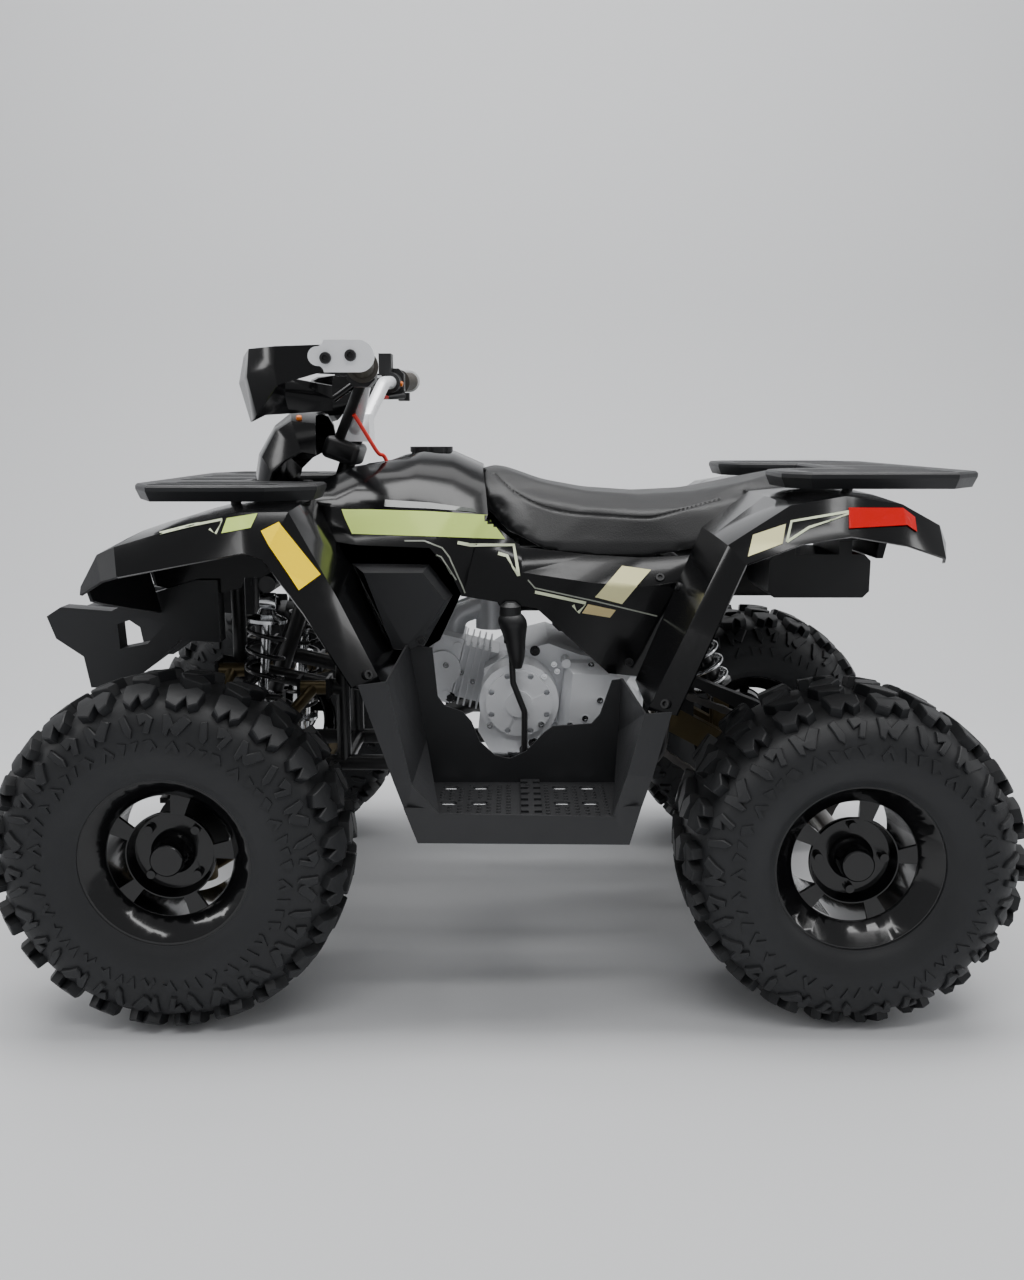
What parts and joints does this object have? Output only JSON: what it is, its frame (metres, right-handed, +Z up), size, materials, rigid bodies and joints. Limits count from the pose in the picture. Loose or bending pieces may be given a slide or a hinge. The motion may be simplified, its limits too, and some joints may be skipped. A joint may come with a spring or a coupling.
{
  "type": "quad bike",
  "caption": "Small utility quad bike with a lugged tyre at each corner, bar steering, front and rear racks, a long seat, footwells and a chain-driven rear axle.",
  "frame": {"origin": "on the ground under the middle of the machine's bounding box", "axes": "+X to the rear, nose towards -X; +Y to the rider's right; +Z up"},
  "size_m": [1.3878, 0.9086, 0.927],
  "materials": {
    "gloss_black": "high gloss moulded plastic",
    "charcoal": "fine grained matte moulded plastic",
    "seat_vinyl": "stitched vinyl",
    "tyre": "moulded rubber",
    "rim_black": "gloss paint",
    "frame_black": "satin powder coat",
    "bronze": "metallic olive bronze coat",
    "engine_silver": "painted cast alloy",
    "bar_silver": "satin",
    "grip_rubber": "ribbed rubber",
    "control_black": "fine grained plastic",
    "lamp_clear": "clear lens",
    "lamp_red": "red lens",
    "reflector_yellow": "prismatic reflector",
    "reflector_red": "prismatic reflector",
    "exhaust_black": "heat resistant coat",
    "chain_steel": "oiled steel",
    "damper_steel": "coated spring steel"
  },
  "bodies": {
    "chassis": {"frame": "frame_black", "engine_case": "engine_silver", "engine_cylinder": "engine_silver", "exhaust": "exhaust_black", "air_box": "control_black", "tail_box": "control_black", "front_body": "gloss_black", "fender_tips": "charcoal", "cowl": "gloss_black", "tank_cover": "gloss_black", "fuel_cap": "control_black", "side_panels": "gloss_black", "knee_covers": "charcoal", "seat": "seat_vinyl", "rear_body": "gloss_black", "front_rack": "charcoal", "rear_rack": "charcoal", "bumper": "charcoal", "footwell_left": "charcoal", "footwell_right": "charcoal", "headlights": "lamp_clear", "taillight": "lamp_red", "reflectors_front": "reflector_yellow", "reflectors_rear": "reflector_red", "a_arms": "bronze", "front_shocks": "damper_steel", "swingarm": "bronze", "rear_shock": "damper_steel", "chain": "chain_steel", "chain_guard": "control_black", "shift_lever": "control_black", "brake_pedal": "frame_black"},
    "steering": {"steering_column": "frame_black", "handlebar": "bar_silver", "grips": "grip_rubber", "controls": "control_black", "handguards": "gloss_black"},
    "knuckle_left_body": {"knuckle_left": "frame_black"},
    "knuckle_right_body": {"knuckle_right": "frame_black"},
    "tie_rod_left_body": {"tie_rod_left": "chain_steel"},
    "tie_rod_right_body": {"tie_rod_right": "chain_steel"},
    "wheel_front_left": {"tyre_front_left": "tyre", "rim_front_left": "rim_black"},
    "wheel_front_right": {"tyre_front_right": "tyre", "rim_front_right": "rim_black"},
    "rear_axle_body": {"rear_axle": "chain_steel", "rear_tyres": "tyre", "rear_rims": "rim_black"}
  },
  "joints": [
    {"name": "steer", "type": "hinge", "parent": "chassis", "child": "steering", "pos_m": [-0.42, 0, 0.285], "axis": [0.3289, 0, 0.9444], "range_deg": [-30, 30]},
    {"name": "steer_knuckle_left", "type": "hinge", "parent": "chassis", "child": "knuckle_left_body", "pos_m": [-0.45, -0.255, 0.24], "axis": [0, 0, 1], "range_deg": [-30.5, 30.5]},
    {"name": "steer_knuckle_right", "type": "hinge", "parent": "chassis", "child": "knuckle_right_body", "pos_m": [-0.45, 0.255, 0.24], "axis": [0, 0, 1], "range_deg": [-30.5, 30.5]},
    {"name": "tie_rod_pin_left", "type": "hinge", "parent": "steering", "child": "tie_rod_left_body", "pos_m": [-0.4625, -0.014, 0.2998], "axis": [0.3289, 0, 0.9444], "range_deg": [-33, 33]},
    {"name": "tie_rod_pin_right", "type": "hinge", "parent": "steering", "child": "tie_rod_right_body", "pos_m": [-0.4625, 0.014, 0.2998], "axis": [0.3289, 0, 0.9444], "range_deg": [-33, 33]},
    {"name": "spin_front_left", "type": "hinge", "parent": "knuckle_left_body", "child": "wheel_front_left", "pos_m": [-0.45, -0.368, 0.24], "axis": [0, 1, 0], "continuous": true},
    {"name": "spin_front_right", "type": "hinge", "parent": "knuckle_right_body", "child": "wheel_front_right", "pos_m": [-0.45, 0.368, 0.24], "axis": [0, 1, 0], "continuous": true},
    {"name": "spin_rear", "type": "hinge", "parent": "chassis", "child": "rear_axle_body", "pos_m": [0.46, 0, 0.23], "axis": [0, 1, 0], "continuous": true}
  ],
  "couplings": [
    {"joint": "steer_knuckle_left", "follows": "steer", "ratio": 1},
    {"joint": "steer_knuckle_right", "follows": "steer", "ratio": 1},
    {"joint": "tie_rod_pin_left", "follows": "steer", "ratio": -1.05},
    {"joint": "tie_rod_pin_right", "follows": "steer", "ratio": -1.05}
  ]
}
